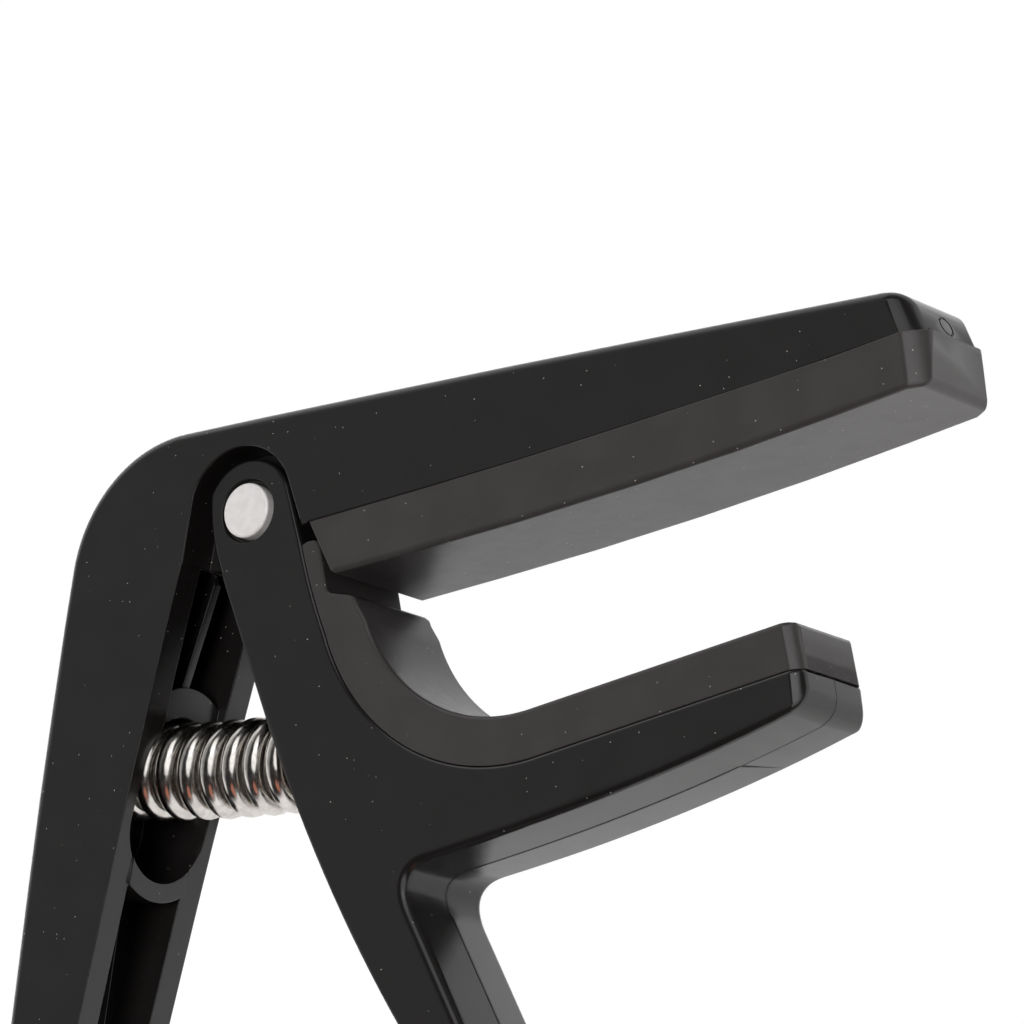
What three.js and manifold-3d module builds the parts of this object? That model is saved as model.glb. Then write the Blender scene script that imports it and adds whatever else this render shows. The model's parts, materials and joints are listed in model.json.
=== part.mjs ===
// Spring guitar capo, lying on its side with its jaws closed. Millimetres, +Z up.
// +X runs along the string pad, away from the pivot. Every piece is drawn about the pivot
// axis, and the whole is then moved so that the origin is on the frame's flat side.
import * as THREE from 'three';
import { mergeVertices } from 'three/addons/utils/BufferGeometryUtils.js';
import Module from 'manifold-3d';

const wasm = await Module();
wasm.setup();

// Widths along Z. The frame rests on Z = 0 and every piece is centred on MIDDLE.
const FRAME_WIDTH = 12.4;
const MIDDLE = FRAME_WIDTH / 2;
const LEVER_WIDTH = 10.4;
const FRAME_WALL = 2.5;
const EAR_THICKNESS = 2.3;
const RUNNING_GAP = 0.3;
const PAD_INSET = 0.15;
const EDGE_CHAMFER = 0.5;

// Pivot.
const PIVOT_X = 10;
const PIN_RADIUS = 2.25;
const PIN_LENGTH = 11;
const PIN_CHAMFER = 0.25;
const EAR_BORE_RADIUS = 2.3;
const EAR_RECESS_RADIUS = 2.85;
const EAR_RECESS_DEPTH = 0.5;
const EAR_RADIUS = 4.28;
const POCKET_RADIUS = 5.12;
const WEB_RADIUS = 4.5;
const WEB_CLEARANCE_RADIUS = 4.9;
const WEB_WIDTH = LEVER_WIDTH - 2 * (EAR_THICKNESS + RUNNING_GAP);

// Frame: a string bar that falls gently to its tip, and a handle that hangs from its root.
const BAR_TIP = { x: 63.45, seatY: -3.25, topX: 62.4, top: 0.2 };
const BAR_CROWN = [27, 4.5];
const FRAME_CORNER = { x: -14.85, y: 9.03, radius: 12 };
const HANDLE_OUTER_BEND = [-23.5, -18.2];
const HANDLE_INNER_TOP = [-6.3, -2.9];
const HANDLE_INNER_BEND = [-15.45, -23.6];
const HANDLE_END = { y: -58, outerX: -34.9, innerX: -29.9 };

// Line where the string pad meets the bar, from the root to the tip.
const BAR_SEAT = [[6.6, -2.95], [27, -3.6], [56, -3.6], [BAR_TIP.x, BAR_TIP.seatY]];

// The frame handle, measured down it from the pivot axis and square to it.
const HANDLE_LEAN = THREE.MathUtils.degToRad(15.9);
const HANDLE_FLOOR = -14.85;
const CHANNEL = { from: 3.5, to: 62.6 };
const CUP = { from: 16.2, to: 29.7, width: 9.4 };
const CUP_RIM = { from: 13.7, to: 31.3, width: 13, topFrom: -7.5, topTo: -8.6 };
const RIB_THICKNESS = 0.9;

// String pad, on the underside of the bar. Its face is crowned in three flats.
const PAD_LEFT = 8.3;
const PAD_RIGHT = 63.5;
const PAD_TIP_X = 63.85;
const PAD_END_FACE = -7.75;
const PAD_CROWN = { from: 26, to: 46, y: -8.45 };

// Neck pad, in the saddle of the lever. The saddle's arcs share one centre.
const SADDLE = { x: 24.3, y: -8.85, padRadius: 14.24, leverRadius: 18.2 };
const SADDLE_HIGH = THREE.MathUtils.degToRad(-170);
const NECK_FACE = { fromX: 24.8, fromY: -23.08, toX: 49.1, toY: -22.3 };
const LIP = { left: 4.95, right: 6.65, top: -4.15 };
const STEP = { left: 6.95, right: 9.6, leftY: -8.8, rightY: -9.6 };
const JAW_TIP = { x: 49.4, seatY: -26.15, bottomY: -29.5 };

// Each arm narrows evenly, seen square to it, from a root width at a distance from the pivot axis.
const BAR_TAPER = { lean: 0, start: 6, tip: BAR_TIP.x, root: FRAME_WIDTH, end: 10, corner: 1.7 };
const PAD_TAPER = { lean: 0, start: 6, tip: PAD_TIP_X, root: FRAME_WIDTH, end: 10.7, corner: 2 };
const JAW_TAPER = { lean: 0, start: 22.8, tip: JAW_TIP.x, root: LEVER_WIDTH, end: 9.4, corner: 1.1 };
const HANDLE_DIRECTION = -Math.PI / 2 - HANDLE_LEAN;
const HANDLE_TAPER = { lean: HANDLE_DIRECTION, start: 10, tip: 66, root: FRAME_WIDTH, end: 10.35, corner: 0 };

// Spring: a coil whose centre line is an arc between the cup's floor and the lever's seat.
const COIL = { centreX: 22, centreY: 131.3, arcRadius: 153, turns: 10.4, wireRadius: 0.9, meanRadius: 3.12 };
const COIL_START = THREE.MathUtils.degToRad(-105.9);
const COIL_END = THREE.MathUtils.degToRad(-96.5);
const COIL_SEAT_GAP = 0.05;
const LEVER_BORE_RADIUS = 4.3;
const LEVER_BORE_LENGTH = 12;

const ARC_STEPS = 7;
const ROUND_STEPS = 40;

const BLACK_SATIN = { color: 0x262525, roughness: 0.42, metalness: 0 };
const DARK_RUBBER = { color: 0x3c393a, roughness: 0.8, metalness: 0 };
const BRIGHT_STEEL = { color: 0xc9c4c0, roughness: 0.2, metalness: 1 };
const BRUSHED_STEEL = { color: 0xd6d2d4, roughness: 0.45, metalness: 1 };

// Goes to a point of an outline, starting the outline there if it has none yet.
function goTo(shape, started, x, y) {
  if (started) {
    shape.lineTo(x, y);
  } else {
    shape.moveTo(x, y);
  }
}

// Adds one corner of an outline, rounded by its radius where it has one.
function addCorner(shape, started, before, [x, y, radius = 0], after) {
  if (radius === 0) {
    goTo(shape, started, x, y);
    return;
  }
  const corner = new THREE.Vector2(x, y);
  const back = new THREE.Vector2(before[0] - x, before[1] - y).normalize();
  const ahead = new THREE.Vector2(after[0] - x, after[1] - y).normalize();
  const halfAngle = Math.acos(back.dot(ahead)) / 2;
  const tangentLength = radius / Math.tan(halfAngle);
  const bisector = back.clone().add(ahead).normalize();
  const centre = corner.clone().addScaledVector(bisector, radius / Math.sin(halfAngle));
  const start = corner.clone().addScaledVector(back, tangentLength).sub(centre);
  const end = corner.clone().addScaledVector(ahead, tangentLength).sub(centre);
  const clockwise = back.cross(ahead) > 0;
  goTo(shape, started, centre.x + start.x, centre.y + start.y);
  shape.absarc(centre.x, centre.y, radius, start.angle(), end.angle(), clockwise);
}

// Closed outline through corners given as [x, y] or [x, y, radius].
function outline(corners) {
  const shape = new THREE.Shape();
  corners.forEach((corner, i) => {
    addCorner(shape, i > 0, corners.at(i - 1), corner, corners[(i + 1) % corners.length]);
  });
  return shape;
}

function disc(radius) {
  return new THREE.Shape().absarc(0, 0, radius, 0, 2 * Math.PI, false);
}

// Solid body from any closed three.js geometry.
function solid(geometry) {
  const bare = new THREE.BufferGeometry();
  bare.setAttribute('position', geometry.getAttribute('position'));
  if (geometry.index) {
    bare.setIndex(geometry.index);
  }
  const welded = mergeVertices(bare, 1e-4);
  return new wasm.Manifold(new wasm.Mesh({
    numProp: 3,
    vertProperties: new Float32Array(welded.getAttribute('position').array),
    triVerts: new Uint32Array(welded.index.array),
  }));
}

// Plate of a side outline between two heights, with its rims chamfered.
function plate(shape, bottom, top, chamfer = 0) {
  const geometry = new THREE.ExtrudeGeometry(shape, {
    depth: top - bottom - 2 * chamfer,
    curveSegments: ARC_STEPS,
    bevelEnabled: chamfer > 0,
    bevelThickness: chamfer,
    bevelSize: chamfer,
    bevelOffset: -chamfer,
    bevelSegments: 1,
  });
  geometry.translate(0, 0, bottom + chamfer);
  return solid(geometry);
}

function centredPlate(shape, width, chamfer = 0) {
  return plate(shape, MIDDLE - width / 2, MIDDLE + width / 2, chamfer);
}

// Round plug about the pivot axis, for bores, bosses and the pin.
function plug(radius, bottom, top) {
  const profile = [
    new THREE.Vector2(0, bottom),
    new THREE.Vector2(radius, bottom),
    new THREE.Vector2(radius, top),
    new THREE.Vector2(0, top),
  ];
  return turned(profile);
}

// Solid of revolution about the pivot axis from [radius, height] points that start and end on it.
function turned(profile) {
  const geometry = new THREE.LatheGeometry(profile, ROUND_STEPS);
  geometry.rotateX(Math.PI / 2);
  return solid(geometry);
}

// Outline of a narrowing arm, seen square to it, as a block that trims a piece.
function taperBlock({ lean, start, tip, root, end, corner }, inset = 0) {
  const back = -60;
  const reach = 80;
  const rootHalf = root / 2 - inset;
  const endHalf = end / 2 - inset;
  const shape = outline([
    [back, -rootHalf],
    [start, -rootHalf],
    [tip, -endHalf, corner],
    [tip, endHalf, corner],
    [start, rootHalf],
    [back, rootHalf],
  ]);
  const geometry = new THREE.ExtrudeGeometry(shape, { depth: 2 * reach, curveSegments: 3, bevelEnabled: false });
  geometry.translate(0, 0, -reach);
  const along = new THREE.Vector3(Math.cos(lean), Math.sin(lean), 0);
  const up = new THREE.Vector3(0, 0, 1);
  const across = new THREE.Vector3().crossVectors(along, up);
  geometry.applyMatrix4(new THREE.Matrix4().makeBasis(along, up, across));
  geometry.translate(0, 0, MIDDLE);
  return solid(geometry);
}

// Round-ended hole of the given size, drilled from a floor point along a direction in the XY plane.
function drilledSlot(floorX, floorY, direction, width, length, depth) {
  const straight = Math.max(length - width, 0) / 2;
  const shape = new THREE.Shape();
  shape.absarc(straight, 0, width / 2, -Math.PI / 2, Math.PI / 2, false);
  shape.absarc(-straight, 0, width / 2, Math.PI / 2, 1.5 * Math.PI, false);
  const geometry = new THREE.ExtrudeGeometry(shape, { depth, curveSegments: 9, bevelEnabled: false });
  const along = new THREE.Vector3(Math.cos(direction), Math.sin(direction), 0);
  const up = new THREE.Vector3(0, 0, 1);
  const across = new THREE.Vector3().crossVectors(up, along);
  geometry.applyMatrix4(new THREE.Matrix4().makeBasis(across, up, along));
  geometry.translate(floorX, floorY, MIDDLE);
  return solid(geometry);
}

// Point on the frame handle from its distance down the handle and its distance square to it.
function onHandle(down, out) {
  const x = -down * Math.sin(HANDLE_LEAN) + out * Math.cos(HANDLE_LEAN);
  const y = -down * Math.cos(HANDLE_LEAN) - out * Math.sin(HANDLE_LEAN);
  return [x, y];
}

function buildFrame() {
  const body = centredPlate(outline([
    [BAR_TIP.topX, BAR_TIP.top, 1.6],
    BAR_CROWN,
    [FRAME_CORNER.x, FRAME_CORNER.y, FRAME_CORNER.radius],
    HANDLE_OUTER_BEND,
    [HANDLE_END.outerX, HANDLE_END.y, 2],
    [HANDLE_END.innerX, HANDLE_END.y, 2],
    HANDLE_INNER_BEND,
    HANDLE_INNER_TOP,
    [-3, -3.9],
    [3, -3.9],
    ...BAR_SEAT,
  ]), FRAME_WIDTH, EDGE_CHAMFER);

  const pocket = new THREE.Shape();
  pocket.absarc(0, 0, POCKET_RADIUS, THREE.MathUtils.degToRad(14.7), THREE.MathUtils.degToRad(153.4), false);
  pocket.lineTo(...HANDLE_INNER_TOP);
  pocket.lineTo(-7.9, -8);
  pocket.lineTo(6.6, -8);
  pocket.lineTo(5.85, -2.9);
  const pocketDepth = (FRAME_WIDTH - WEB_WIDTH) / 2;
  const lowPocket = plate(pocket, -1, pocketDepth);
  const highPocket = plate(pocket, FRAME_WIDTH - pocketDepth, FRAME_WIDTH + 1);

  const floorTop = onHandle(CHANNEL.from, HANDLE_FLOOR);
  const floorEnd = onHandle(CHANNEL.to, HANDLE_FLOOR);
  const channel = centredPlate(outline([
    [...floorTop, 1],
    [...floorEnd, 1],
    [-20, floorEnd[1]],
    [0, -5.5],
  ]), FRAME_WIDTH).intersect(taperBlock(HANDLE_TAPER, FRAME_WALL));

  const cupRoot = HANDLE_FLOOR - 0.5;
  const rimMiddle = onHandle((CUP_RIM.from + CUP_RIM.to) / 2, cupRoot);
  const boss = centredPlate(outline([
    onHandle(CUP_RIM.from, cupRoot),
    onHandle(CUP_RIM.to, cupRoot),
    onHandle(CUP_RIM.to, CUP_RIM.topTo),
    onHandle(CUP_RIM.from, CUP_RIM.topFrom),
  ]), FRAME_WIDTH)
    .intersect(drilledSlot(...rimMiddle, -HANDLE_LEAN, CUP_RIM.width, CUP_RIM.to - CUP_RIM.from, 20))
    .intersect(taperBlock(HANDLE_TAPER, FRAME_WALL - 0.2));

  const rib = centredPlate(outline([
    onHandle(CHANNEL.from - 0.5, cupRoot),
    onHandle(CUP_RIM.from + 1, cupRoot),
    [-12.1, -11.6],
    [-7.5, -3.2],
    [-7.9, -1.9],
  ]), RIB_THICKNESS);

  const cupFloor = onHandle((CUP.from + CUP.to) / 2, HANDLE_FLOOR);
  const cupBore = drilledSlot(...cupFloor, -HANDLE_LEAN, CUP.width, CUP.to - CUP.from, 20);

  return body
    .subtract(channel)
    .add(rib)
    .add(boss)
    .subtract(cupBore)
    .subtract(lowPocket)
    .subtract(highPocket)
    .add(plug(WEB_RADIUS, MIDDLE - WEB_WIDTH / 2, MIDDLE + WEB_WIDTH / 2))
    .subtract(plug(PIN_RADIUS, 0, FRAME_WIDTH))
    .intersect(taperBlock(BAR_TAPER))
    .intersect(taperBlock(HANDLE_TAPER));
}

function buildLever() {
  const shape = new THREE.Shape();
  shape.absarc(0, 0, EAR_RADIUS, THREE.MathUtils.degToRad(5), THREE.MathUtils.degToRad(147), false);
  shape.quadraticCurveTo(-4.15, -0.8, -3.3, -4.4);
  shape.quadraticCurveTo(-3.1, -5.7, -0.1, -18);
  shape.quadraticCurveTo(5.3, -39.3, 16.6, -57.3);
  shape.quadraticCurveTo(17.2, -58.9, 18.3, -58.6);
  shape.quadraticCurveTo(20.0, -58.2, 19.4, -56.6);
  shape.lineTo(12.0, -36.2);
  shape.quadraticCurveTo(10.8, -32.7, 14.2, -32.5);
  shape.quadraticCurveTo(33, -32.2, JAW_TIP.x - 1.6, JAW_TIP.bottomY);
  shape.quadraticCurveTo(JAW_TIP.x - 0.2, JAW_TIP.bottomY + 0.3, JAW_TIP.x, JAW_TIP.bottomY + 1.8);
  shape.lineTo(JAW_TIP.x, JAW_TIP.seatY);
  shape.absarc(SADDLE.x, SADDLE.y, SADDLE.leverRadius, -Math.PI / 2, SADDLE_HIGH, true);
  shape.quadraticCurveTo(5.3, -8.0, LIP.left, LIP.top);
  const body = centredPlate(shape, LEVER_WIDTH, EDGE_CHAMFER);

  const between = LEVER_WIDTH - 2 * EAR_THICKNESS;
  const cavity = centredPlate(outline([
    [-8, 0],
    [6, 0],
    [6, -4.6],
    [2.9, -5.6],
    [3.1, -11.8],
    [4.4, -19],
    [5, -25],
    [7.4, -31],
    [12.1, -44.6],
    [16.6, -54.5],
    [10, -54.5],
    [-8, -20],
  ]), between);

  const seatX = COIL.centreX + COIL.arcRadius * Math.cos(COIL_END);
  const seatY = COIL.centreY + COIL.arcRadius * Math.sin(COIL_END);
  const seatDirection = COIL_END - Math.PI / 2;
  const bore = drilledSlot(seatX, seatY, seatDirection, 2 * LEVER_BORE_RADIUS, 0, LEVER_BORE_LENGTH);

  const earFace = (FRAME_WIDTH - LEVER_WIDTH) / 2;
  return body
    .subtract(cavity)
    .subtract(bore)
    .subtract(plug(WEB_CLEARANCE_RADIUS, MIDDLE - between / 2, MIDDLE + between / 2))
    .subtract(plug(EAR_BORE_RADIUS, 0, FRAME_WIDTH))
    .subtract(plug(EAR_RECESS_RADIUS, 0, earFace + EAR_RECESS_DEPTH))
    .subtract(plug(EAR_RECESS_RADIUS, FRAME_WIDTH - earFace - EAR_RECESS_DEPTH, FRAME_WIDTH))
    .intersect(taperBlock(JAW_TAPER));
}

function buildStringPad() {
  const body = centredPlate(outline([
    [PAD_TIP_X, BAR_TIP.seatY],
    ...BAR_SEAT.toReversed(),
    [PAD_LEFT, PAD_END_FACE, 0.6],
    [PAD_CROWN.from, PAD_CROWN.y],
    [PAD_CROWN.to, PAD_CROWN.y],
    [PAD_RIGHT, PAD_END_FACE, 0.8],
  ]), FRAME_WIDTH);
  return body.intersect(taperBlock(PAD_TAPER, PAD_INSET));
}

function buildNeckPad() {
  const shape = new THREE.Shape();
  shape.absarc(SADDLE.x, SADDLE.y, SADDLE.leverRadius, SADDLE_HIGH, -Math.PI / 2, false);
  shape.lineTo(JAW_TIP.x, JAW_TIP.seatY);
  shape.lineTo(NECK_FACE.toX, NECK_FACE.toY);
  shape.lineTo(NECK_FACE.fromX, NECK_FACE.fromY);
  shape.absarc(SADDLE.x, SADDLE.y, SADDLE.padRadius, -Math.PI / 2, THREE.MathUtils.degToRad(-168), true);
  shape.lineTo(STEP.right + 0.2, STEP.rightY - 0.4);
  shape.lineTo(STEP.right - 0.3, STEP.rightY);
  shape.lineTo(STEP.left, STEP.leftY);
  shape.lineTo(LIP.right, LIP.top - 0.5);
  shape.lineTo(LIP.right - 0.5, LIP.top);
  shape.lineTo(LIP.left, LIP.top);
  shape.quadraticCurveTo(5.3, -8.0, ...saddleTop());
  const body = centredPlate(shape, LEVER_WIDTH);
  return body.intersect(taperBlock(JAW_TAPER, PAD_INSET));
}

// Top end of the arc on which the neck pad sits.
function saddleTop() {
  const x = SADDLE.x + SADDLE.leverRadius * Math.cos(SADDLE_HIGH);
  const y = SADDLE.y + SADDLE.leverRadius * Math.sin(SADDLE_HIGH);
  return [x, y];
}

function buildPin() {
  const low = MIDDLE - PIN_LENGTH / 2;
  const high = MIDDLE + PIN_LENGTH / 2;
  return turned([
    new THREE.Vector2(0, low),
    new THREE.Vector2(PIN_RADIUS - PIN_CHAMFER, low),
    new THREE.Vector2(PIN_RADIUS, low + PIN_CHAMFER),
    new THREE.Vector2(PIN_RADIUS, high - PIN_CHAMFER),
    new THREE.Vector2(PIN_RADIUS - PIN_CHAMFER, high),
    new THREE.Vector2(0, high),
  ]);
}

// Coil wound round the arc that joins the two seats.
class CoilCurve extends THREE.Curve {
  getPoint(t, target = new THREE.Vector3()) {
    const inset = (COIL.wireRadius + COIL_SEAT_GAP) / COIL.arcRadius;
    const along = THREE.MathUtils.lerp(COIL_START + inset, COIL_END - inset, t);
    const turn = 2 * Math.PI * COIL.turns * t;
    const radius = COIL.arcRadius + COIL.meanRadius * Math.cos(turn);
    return target.set(
      COIL.centreX + radius * Math.cos(along),
      COIL.centreY + radius * Math.sin(along),
      MIDDLE + COIL.meanRadius * Math.sin(turn),
    );
  }
}

function buildSpring() {
  const wire = disc(COIL.wireRadius);
  const geometry = new THREE.ExtrudeGeometry(wire, {
    steps: Math.round(COIL.turns * 16),
    curveSegments: 4,
    extrudePath: new CoilCurve(),
  });
  return solid(geometry);
}

function node(name, body, finish) {
  const mesh = body.getMesh();
  const geometry = new THREE.BufferGeometry();
  geometry.setAttribute('position', new THREE.BufferAttribute(new Float32Array(mesh.vertProperties), 3));
  geometry.setIndex(new THREE.BufferAttribute(new Uint32Array(mesh.triVerts), 1));
  geometry.translate(PIVOT_X, 0, 0);
  geometry.computeVertexNormals();
  const result = new THREE.Mesh(geometry, new THREE.MeshStandardMaterial(finish));
  result.name = name;
  return result;
}

const group = new THREE.Group();
group.name = 'guitar_capo';
group.add(node('frame', buildFrame(), BLACK_SATIN));
group.add(node('lever', buildLever(), BLACK_SATIN));
group.add(node('string_pad', buildStringPad(), DARK_RUBBER));
group.add(node('neck_pad', buildNeckPad(), DARK_RUBBER));
group.add(node('spring', buildSpring(), BRIGHT_STEEL));
group.add(node('pivot_pin', buildPin(), BRUSHED_STEEL));

export default group;
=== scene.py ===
import json
import math

import bmesh
import bpy
from mathutils import Matrix, Vector
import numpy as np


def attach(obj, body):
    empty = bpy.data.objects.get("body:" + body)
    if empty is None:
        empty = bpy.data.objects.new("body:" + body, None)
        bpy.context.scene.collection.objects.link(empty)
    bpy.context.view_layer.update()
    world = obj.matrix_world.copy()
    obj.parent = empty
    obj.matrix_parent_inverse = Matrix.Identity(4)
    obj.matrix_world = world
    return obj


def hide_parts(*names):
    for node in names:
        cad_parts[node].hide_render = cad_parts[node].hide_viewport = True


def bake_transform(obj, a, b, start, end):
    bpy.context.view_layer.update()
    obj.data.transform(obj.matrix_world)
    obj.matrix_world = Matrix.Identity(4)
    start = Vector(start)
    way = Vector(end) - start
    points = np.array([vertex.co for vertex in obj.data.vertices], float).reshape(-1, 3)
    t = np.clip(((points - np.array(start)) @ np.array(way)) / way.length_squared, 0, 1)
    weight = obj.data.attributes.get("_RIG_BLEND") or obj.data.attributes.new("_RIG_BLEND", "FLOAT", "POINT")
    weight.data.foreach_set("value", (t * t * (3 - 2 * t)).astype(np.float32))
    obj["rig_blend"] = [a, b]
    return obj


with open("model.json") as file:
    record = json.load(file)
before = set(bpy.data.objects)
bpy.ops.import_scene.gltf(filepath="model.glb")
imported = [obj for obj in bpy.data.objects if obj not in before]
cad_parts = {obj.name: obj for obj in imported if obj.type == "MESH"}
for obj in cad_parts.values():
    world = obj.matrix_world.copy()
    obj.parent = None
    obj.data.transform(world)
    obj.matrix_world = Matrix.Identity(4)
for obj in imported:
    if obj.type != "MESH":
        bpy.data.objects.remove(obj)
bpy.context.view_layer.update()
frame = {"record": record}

# Shapes are drawn in millimetres about the pivot axis, and moved into the frame at the end.
MM = 0.001
PIVOT = next(joint for joint in frame["record"]["behaviour"]["joints"] if joint["name"] == "lever_pivot")
TO_FRAME = Matrix.Translation(PIVOT["pos_m"]) @ Matrix.Scale(MM, 4)

# Widths along Z. Every piece is centred on MIDDLE.
FRAME_WIDTH = 12.4
MIDDLE = FRAME_WIDTH / 2
LEVER_WIDTH = 10.4
FRAME_WALL = 2.5
EAR_THICKNESS = 2.3
RUNNING_GAP = 0.3
PAD_INSET = 0.12

# Pivot.
PIN_RADIUS = 2.25
PIN_LENGTH = 11
PIN_SLACK = 0.01
PIN_EDGE = 0.22
PIN_CROWN = 0.02
EAR_BORE_RADIUS = 2.3
EAR_RECESS = {"radius": 2.6, "depth": 0.5}
EAR_RADIUS = 4.28
POCKET_RADIUS = 5.12
WEB_RADIUS = 4.5
WEB_CLEARANCE_RADIUS = 4.9
WEB_WIDTH = LEVER_WIDTH - 2 * (EAR_THICKNESS + RUNNING_GAP)

# Frame. A bend or corner is (x, y, radius). The channel's, cup's and rim's sizes are measured down
# the handle from the pivot axis and square to it.
BAR_TIP = {"x": 63.45, "y": -3.25, "top_x": 62.4, "top": 0.2, "radius": 2.2}
BAR_TOP_BEND = (27, 4.5, 2000)
BAR_ROOT = (6.6, -2.95)
BAR_SEAT_BENDS = ((27, -3.6, 600), (56, -3.6, 250))
FRAME_CORNER = (-14.85, 9.03, 12)
HANDLE_OUTER_BEND = (-23.5, -18.2, 500)
HANDLE_INNER_BEND = (-15.45, -23.6, 500)
HANDLE_END = {"y": -58, "outer_x": -34.9, "inner_x": -29.9, "radius": 2}
HANDLE_LEAN = math.radians(15.9)
HANDLE_FLOOR = -14.85
HANDLE_INNER_TOP = (-6.3, -2.9)
WEB_FOOT = ((-3, -3.9), (3, -3.9))
POCKET_ARC = (14.7, 153.4)
POCKET_MOUTH = (HANDLE_INNER_TOP, (-7.9, -8), (6.6, -8), (5.85, -2.9))
CHANNEL = {"from": 3.5, "to": 62.6, "corner": 1, "mouth_x": -20, "mouth_top": (0, -5.5)}
CUP = {"from": 16.2, "to": 29.7, "width": 9.4}
CUP_RIM = {"from": 13.7, "to": 31.3, "width": 13, "top_from": -7.5, "top_to": -8.6}
CUP_RIM_BITE = 0.2
RIB_THICKNESS = 0.9
RIB_TOP = ((-12.1, -11.6), (-7.5, -3.2), (-7.9, -1.9))

# How deep a hole's tool reaches, how far joined shapes overlap, and how far a cut runs past a face.
HOLE_DEPTH = 20
OVERLAP = 0.5
OVERCUT = 1

# Pads.
PAD_LEFT = 8.3
PAD_RIGHT = 63.5
PAD_TIP_X = 63.85
PAD_END_FACE = -7.75
PAD_CORNERS = {"left": 0.5, "right": 0.8}
PAD_CROWN = {"from": 26, "to": 46, "y": -8.45, "radius": 480}
SADDLE = {
    "x": 24.3,
    "y": -8.85,
    "pad_radius": 14.24,
    "pad_low": -89,
    "pad_high": -168,
    "lever_radius": 18.2,
    "high": -170,
}
NECK_FACE = {"from": (24.8, -23.08), "to": (49.1, -22.3)}
LIP = {"left": 4.95, "right": 6.65, "top": -4.15, "bend": (5.3, -8)}
STEP = {"left": 6.95, "right": 9.6, "left_y": -8.8, "right_y": -9.6}
JAW_TIP = {"x": 49.4, "seat": -26.15, "bottom": -29.5}

# Lever. Its ears run round the pivot between two angles in degrees, and its two walls stand apart
# by the cavity, which is open towards the frame handle.
EAR_ARC = (5, 147)
LEVER_CAVITY = (
    (-8, 0),
    (6, 0),
    (6, -4.6),
    (2.9, -5.6),
    (3.1, -11.8),
    (4.4, -19),
    (5, -25),
    (7.4, -31),
    (12.1, -44.6),
    (16.6, -54.5),
    (10, -54.5),
    (-8, -20),
)

# Each arm narrows evenly, seen square to it, from a root width at a distance from the pivot axis.
BAR_TAPER = {"lean": 0, "start": 6, "tip": BAR_TIP["x"], "root": FRAME_WIDTH, "end": 10.0, "corner": 1.7}
PAD_TAPER = {"lean": 0, "start": 6, "tip": PAD_TIP_X, "root": FRAME_WIDTH, "end": 10.7, "corner": 2.0}
JAW_TAPER = {"lean": 0, "start": 22.8, "tip": JAW_TIP["x"], "root": LEVER_WIDTH, "end": 9.4, "corner": 1.1}
HANDLE_TAPER = {
    "lean": -math.pi / 2 - HANDLE_LEAN,
    "start": 10,
    "tip": 66,
    "root": FRAME_WIDTH,
    "end": 10.35,
    "corner": 0,
}

# Spring: a coil wound round the arc between its two seats.
COIL = {"x": 22, "y": 131.3, "radius": 153, "turns": 10.4, "wire": 0.9, "mean": 3.12}
COIL_FROM = math.radians(-105.9)
COIL_TO = math.radians(-96.5)
COIL_SEAT_GAP = 0.05
LEVER_BORE = {"radius": 4.3, "length": 12}

# Points this close are one point, and faces that meet this flatly are one face.
WELD = 0.001
CUT_WELD = 0.01
CUT_TOLERANCE = 1e-5
FLAT_ANGLE = math.radians(0.4)


# Outlines are lists of (x, y, rim, crest): rim is how far the edge there is rounded over, and
# crest how far the wall swells out at mid-width, where the two halves of the mould met.
# A rim given as a pair runs evenly from its first value to its second along the stretch.

def rim_at(rim, share):
    """Rim at a share of the way along a stretch."""
    if isinstance(rim, tuple):
        return rim[0] + (rim[1] - rim[0]) * share
    return rim


def arc(x, y, radius, start, end, rim, crest=0.0, step=6.0):
    """Points of a circular arc, its angles in degrees."""
    count = max(2, math.ceil(abs(end - start) / step))
    points = []
    for i in range(count + 1):
        angle = math.radians(start + (end - start) * i / count)
        place = x + radius * math.cos(angle), y + radius * math.sin(angle)
        points.append((*place, rim_at(rim, i / count), crest))
    return points


def circle(radius, step):
    """Points of a full circle about the origin."""
    return arc(0, 0, radius, 0, 360 - step, 0.0, step=step)


def curve(start, control, end, rim, crest=0.0, count=16):
    """Points of a quadratic curve after its start, which can be the last point of an outline."""
    points = []
    for i in range(1, count + 1):
        t = i / count
        ways = ((1 - t) ** 2, 2 * t * (1 - t), t * t)
        x = sum(way * point[0] for way, point in zip(ways, (start, control, end)))
        y = sum(way * point[1] for way, point in zip(ways, (start, control, end)))
        points.append((x, y, rim_at(rim, t), crest))
    return points


def rounded(corners, step=6.0):
    """Points of a closed outline through corners given as (x, y, radius, rim)."""
    points = []
    for i, (x, y, radius, rim) in enumerate(corners):
        corner = Vector((x, y))
        if radius == 0:
            points.append((x, y, rim, 0.0))
            continue
        back = (Vector(corners[i - 1][:2]) - corner).normalized()
        ahead = (Vector(corners[(i + 1) % len(corners)][:2]) - corner).normalized()
        half = back.angle(ahead) / 2
        centre = corner + (back + ahead).normalized() * radius / math.sin(half)
        start = corner + back * radius / math.tan(half) - centre
        end = corner + ahead * radius / math.tan(half) - centre
        turn = math.degrees(math.atan2(start.cross(end), start.dot(end)))
        first = math.degrees(math.atan2(start.y, start.x))
        points += arc(centre.x, centre.y, radius, first, first + turn, rim, step=step)
    return points


def on_handle(down, out):
    """Point on the frame handle, from its distance down the handle and square to it."""
    return (
        -down * math.sin(HANDLE_LEAN) + out * math.cos(HANDLE_LEAN),
        -down * math.cos(HANDLE_LEAN) - out * math.sin(HANDLE_LEAN),
    )


def on_coil(angle, radius=COIL["radius"]):
    """Point on the arc that the coil is wound round, or at another radius from its centre."""
    return COIL["x"] + radius * math.cos(angle), COIL["y"] + radius * math.sin(angle)


LEAST_MITRE = 0.4


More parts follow.
